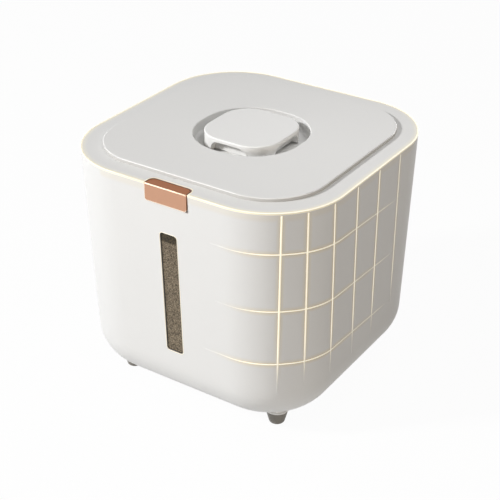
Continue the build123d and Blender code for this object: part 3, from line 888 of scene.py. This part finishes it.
def lay_floor(scene, stage):
    """Large level square under the feet, white to the eye, with the box's soft shadow."""
    reach = stage.floor_reach
    corners = [(x * reach, y * reach, 0.0) for x, y in ((-1, -1), (1, -1), (1, 1), (-1, 1))]
    mesh = bpy.data.meshes.new("floor")
    mesh.from_pydata(corners, [], [(0, 1, 2, 3)])
    floor = bpy.data.objects.new("floor", mesh)
    scene.collection.objects.link(floor)
    material = bpy.data.materials.new("floor_white")
    material.use_nodes = True
    tree = material.node_tree
    tree.nodes.clear()
    mask = seen_directly(tree)
    matt = add_node(tree, "ShaderNodeBsdfDiffuse")
    tone = blend_colours(tree, mask, 3 * (stage.floor_tone,), 3 * (stage.floor_seen,))
    link(tree, tone, matt.inputs["Color"])
    white = add_node(tree, "ShaderNodeEmission", strength=1.0)
    mix = add_node(tree, "ShaderNodeMixShader")
    link(tree, calculate(tree, "MULTIPLY", mask, stage.floor_white), mix.inputs[0])
    link(tree, matt.outputs[0], mix.inputs[1])
    link(tree, white.outputs[0], mix.inputs[2])
    output = add_node(tree, "ShaderNodeOutputMaterial")
    link(tree, mix.outputs[0], output.inputs["Surface"])
    mesh.materials.append(material)


def light_sky(scene, stage):
    """Even soft light from all round, plain white where it is seen."""
    world = scene.world or bpy.data.worlds.new("sky")
    scene.world = world
    world.use_nodes = True
    tree = world.node_tree
    tree.nodes.clear()
    sky = add_node(tree, "ShaderNodeBackground")
    link(tree, blend_colours(tree, seen_directly(tree), stage.sky, (1.0, 1.0, 1.0)), sky.inputs["Color"])
    output = add_node(tree, "ShaderNodeOutputWorld")
    link(tree, sky.outputs[0], output.inputs["Surface"])


def hang_lamp(scene, name, power, turn, height, size, distance=2.4, colour=(1.0, 1.0, 1.0)):
    """Square soft lamp that looks at the middle of the box.

    Turn is its bearing in degrees from the front towards the right, and height its angle
    over the level.
    """
    data = bpy.data.lights.new(name, "AREA")
    data.shape = "SQUARE"
    data.size = size
    data.energy = power
    data.color = colour
    lamp = bpy.data.objects.new(name, data)
    bearing, rise = math.radians(turn), math.radians(height)
    level = math.cos(rise)
    way = Vector((math.sin(bearing) * level, -math.cos(bearing) * level, math.sin(rise)))
    lamp.location = Vector((0.0, 0.0, rim_top / 2)) + distance * way
    lamp.rotation_euler = (-way).to_track_quat("-Z", "Y").to_euler()
    scene.collection.objects.link(lamp)


def place_camera(scene, stage):
    """Camera at its place, turned round the box and tilted down."""
    data = bpy.data.cameras.new("camera")
    data.sensor_width = 36.0
    data.lens = stage.lens
    camera = bpy.data.objects.new("camera", data)
    turn = Matrix.Rotation(stage.camera_turn, 4, "Z")
    tilt = Matrix.Rotation(math.pi / 2 - stage.camera_tilt, 4, "X")
    camera.matrix_world = Matrix.Translation(stage.camera_place) @ turn @ tilt
    scene.collection.objects.link(camera)
    scene.camera = camera


# Operators


class STORAGE_BOX_OT_tub_finish(bpy.types.Operator):
    """Finish of the tub, its collar, its window and its feet"""

    bl_idname = "storage_box.tub_finish"
    bl_label = "Tub, window and feet"

    def execute(self, context):
        box = context.scene.storage_box
        finishes = box.finishes
        # Painted glow beside the lines and under the rim, laid into the tub's colour
        glow = (painted_glow_group(box), finishes.line_glow)
        dress(satin_plastic("body_white", finishes.body_white, glow, gloss=0.42, grain=1500.0), "tub")
        dress(satin_plastic("collar_white", finishes.body_white, gloss=0.42, grain=1500.0), "rim_collar")
        dress(smoked_pane("smoked_pane", finishes), "window_pane")
        dress(soft_rubber("dark_seal", finishes.seal_dark, gloss=0.62), "window_gasket")
        feet = [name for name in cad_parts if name.startswith("foot_")]
        dress(taupe_foot("foot_taupe", finishes.foot_taupe), *feet)
        return {"FINISHED"}


class STORAGE_BOX_OT_lid_finish(bpy.types.Operator):
    """Finish of the lid, its liner, seals, cap and rim"""

    bl_idname = "storage_box.lid_finish"
    bl_label = "Lid and cap"

    def execute(self, context):
        box = context.scene.storage_box
        finishes = box.finishes
        # Painted shade on the raised panel's step, laid into the lid's colour
        edge = (panel_shade_group(box), finishes.panel_edge_shade)
        # Painted glow beside the rim, laid into the lid's colour
        glow = (painted_rim_glow_group(box), finishes.lid_painted_glow)
        lid = satin_plastic("lid_white", finishes.lid_white, edge, glow, gloss=0.4, grain=1700.0)
        dress(lid, "lid_cover")
        dress(satin_plastic("cap_white", finishes.cap_white, gloss=0.38, grain=1700.0), "knob_cap")
        liner = satin_plastic("liner_white", finishes.liner_white, gloss=0.48, grain=1300.0)
        dress(liner, "lid_liner", "desiccant_basket")
        dress(soft_rubber("pale_seal", finishes.seal_pale, gloss=0.58), "lid_gasket", "cap_seal")
        dress(plated_line("pale_gold", finishes.pale_gold), "rim_trim")
        return {"FINISHED"}


class STORAGE_BOX_OT_hardware_finish(bpy.types.Operator):
    """Finish of the latch, pins, screws and springs"""

    bl_idname = "storage_box.hardware_finish"
    bl_label = "Latch and hardware"

    def execute(self, context):
        finishes = context.scene.storage_box.finishes
        # The latch's upward faces take the deeper copper, partly as painted shade
        dress(rose_metal("rose_gold", finishes.rose_front, finishes.rose_pad_and_top_shade), "latch_button")
        steel = brushed_steel("steel", finishes.steel)
        dress(steel, "hinge_pin", "lid_screws", "latch_pin", "latch_springs")
        return {"FINISHED"}


class STORAGE_BOX_OT_latch_coils(bpy.types.Operator):
    """Springs under the latch"""

    bl_idname = "storage_box.latch_coils"
    bl_label = "Latch springs"

    def execute(self, context):
        form = context.scene.storage_box.form
        low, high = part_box("latch_springs")
        reach = (high[1] - low[1]) / 2
        radius = reach - form.spring_wire
        coils = [
            coil((x, low[1] + reach), low[2], high[2], radius, form.spring_wire, form.spring_turns)
            for x in (low[0] + reach, high[0] - reach)
        ]
        piece = add_piece("latch_coils", coils, bpy.data.materials["steel"], "lid")
        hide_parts("latch_springs")
        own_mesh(piece)
        return {"FINISHED"}


class STORAGE_BOX_OT_inlaid_lines(bpy.types.Operator):
    """Thin gold lines with a painted glow, round the tub's front right corner and along the lid's upper edge
    """

    bl_idname = "storage_box.inlaid_lines"
    bl_label = "Inlaid lines"

    def execute(self, context):
        box = context.scene.storage_box
        # The gold lines carry a painted glow
        gold = fading_line("inlaid_gold", box.finishes.pale_gold, box.finishes.body_white, light=0.55)
        uprights = [upright_bead(box, index) for index in range(len(box.lines.upright_tops))]
        add_piece("inlaid_uprights", uprights, gold, "box")
        rows = [row_bead(box, index) for index in range(len(box.lines.row_depths))]
        add_piece("inlaid_rows", rows, gold, "box")
        # Gold line on the lid's upper edge: partly the trim's gold, partly a painted highlight on that edge
        rim = edge_bead(box.edges, rim_path(box), (0.0, 0.0, 1.0), box.edges.rim_width, fade=0.85)
        add_piece("rim_edge_line", [rim], gold, "lid")
        return {"FINISHED"}


class STORAGE_BOX_OT_latch_edge(bpy.types.Operator):
    """Fine lines along the edges of the latch and round its seat in the lid: painted highlights, the rim's
    gold line carried over the latch, and a painted shadow round the thumb pad
    """

    bl_idname = "storage_box.latch_edge"
    bl_label = "Latch edges"

    def execute(self, context):
        box = context.scene.storage_box
        finishes, form, edges = box.finishes, box.form, box.edges
        forward, upward = (0.0, -1.0, 0.0), (0.0, 0.0, 1.0)
        inset = edges.latch_inset
        left, right = latch_low[0] + inset, latch_high[0] - inset
        front, top = latch_low[1], latch_high[2]

        # Painted highlights on the latch's upper edge and front border, in a gold with a painted glow; the
        # upper line also carries the rim's gold line over the latch. The border leaves the latch's right side
        # bare
        gold = fading_line("edge_highlight_gold", finishes.pale_gold, finishes.body_white, light=0.22)
        upper = np.array([(side, front + inset, top - inset) for side in (left, right)])
        upper = edge_bead(edges, upper, (0.0, -1.0, 1.0), edges.latch_top_width, fade=0.85)
        foot = latch_low[2] + inset
        outline = hanging_frame((left, foot), (right, top - edges.border_drop), edges.border_corner)[:-1]
        border = edge_bead(edges, lay(outline, "front", front), forward, edges.border_width, fade=0.6)
        add_piece("latch_trim_and_highlight_line", [upper, border], gold, "latch")

        # Painted shadow: a dark line round the pad stands in for the shade in the gap of its seat
        dark = rose_metal("pad_gap_shadow", finishes.pad_gap_shadow, finishes.pad_gap_shadow)
        rear = latch_high[1] - inset
        outline = hanging_frame((left, -rear), (right, -front - edges.front_gap), form.seat_corner)
        pad = edge_bead(edges, lay(outline, "level", top), upward, edges.pad_width, fade=1.0)
        add_piece("latch_pad_shadow_line", [pad], dark, "latch")

        # Painted highlight: a pale line round the latch's seat in the lid
        side = latch_high[0] + form.seat_side_gap
        rear = latch_high[1] + form.seat_rear_gap
        outline = hanging_frame((-side, -rear), (side, -rim_low[1] - edges.front_gap), form.seat_corner)
        seat = edge_bead(edges, lay(outline, "level", top), upward, edges.seat_width, fade=0.8)
        add_piece("latch_seat_highlight", [seat], gold, "lid")
        return {"FINISHED"}


class STORAGE_BOX_OT_window_lip(bpy.types.Operator):
    """Thin pale lip round the sight window, in a gold with a painted glow: a painted highlight on the
    window's edge
    """

    bl_idname = "storage_box.window_lip"
    bl_label = "Window lip"

    def execute(self, context):
        form, edges = context.scene.storage_box.form, context.scene.storage_box.edges
        flange = form.window_flange - edges.lip_gap
        low = (window_low[0] + flange, window_low[2] + flange)
        high = (window_high[0] - flange, window_high[2] - flange)
        outline = round_frame(low, high, form.window_corner)
        depth = rim_top - outline[:, 1]
        points = np.stack((outline[:, 0], rim_low[1] + form.lean * depth, outline[:, 1]), axis=1)
        lip = edge_bead(edges, points, (0.0, -1.0, -form.lean), edges.lip_width, fade=0.8, loop=True)
        add_piece("window_lip", [lip], bpy.data.materials["edge_highlight_gold"], "box")
        return {"FINISHED"}


class STORAGE_BOX_OT_stage(bpy.types.Operator):
    """Floor, lamps and camera"""

    bl_idname = "storage_box.stage"
    bl_label = "Stage"

    def execute(self, context):
        scene = context.scene
        stage = scene.storage_box.stage
        scene.view_settings.view_transform = "Standard"
        lay_floor(scene, stage)
        light_sky(scene, stage)
        hang_lamp(scene, "key", stage.key_power, turn=-42, height=33, size=0.25)
        hang_lamp(scene, "low_front", stage.low_power, turn=18, height=4, size=0.5)
        hang_lamp(scene, "top", stage.top_power, turn=100, height=69, size=0.2, distance=0.5)
        hang_lamp(scene, "side", stage.side_power, turn=68, height=15, size=0.9, colour=stage.side_colour)
        hang_lamp(scene, "rear_fill", stage.rear_power, turn=180, height=0, size=0.5)
        hang_lamp(scene, "left_fill", stage.left_power, turn=-120, height=0, size=0.5)
        place_camera(scene, stage)
        return {"FINISHED"}


class STORAGE_BOX_PT_panel(bpy.types.Panel):
    """Steps that dress the storage box"""

    bl_idname = "STORAGE_BOX_PT_panel"
    bl_label = "Storage Box"
    bl_space_type = "VIEW_3D"
    bl_region_type = "UI"
    bl_category = "Storage Box"

    def draw(self, context):
        for operator in operators:
            self.layout.operator(operator.bl_idname)


# Registration


settings = (BoxFinishes, BoxForm, InlaidLines, EdgeLines, StageSettings, StorageBox)
operators = (
    STORAGE_BOX_OT_tub_finish,
    STORAGE_BOX_OT_lid_finish,
    STORAGE_BOX_OT_hardware_finish,
    STORAGE_BOX_OT_latch_coils,
    STORAGE_BOX_OT_inlaid_lines,
    STORAGE_BOX_OT_latch_edge,
    STORAGE_BOX_OT_window_lip,
    STORAGE_BOX_OT_stage,
)
classes = (*settings, *operators, STORAGE_BOX_PT_panel)


def register():
    """Makes the settings, steps and panel known to Blender."""
    for cls in classes:
        bpy.utils.register_class(cls)
    bpy.types.Scene.storage_box = PointerProperty(type=StorageBox)


def unregister():
    """Takes the settings, steps and panel out again."""
    del bpy.types.Scene.storage_box
    for cls in reversed(classes):
        bpy.utils.unregister_class(cls)


def main():
    """Dresses the box step by step."""
    register()
    bpy.ops.storage_box.tub_finish()
    bpy.ops.storage_box.lid_finish()
    bpy.ops.storage_box.hardware_finish()
    bpy.ops.storage_box.latch_coils()
    bpy.ops.storage_box.inlaid_lines()
    bpy.ops.storage_box.latch_edge()
    bpy.ops.storage_box.window_lip()
    bpy.ops.storage_box.stage()


if __name__ == "__main__":
    main()
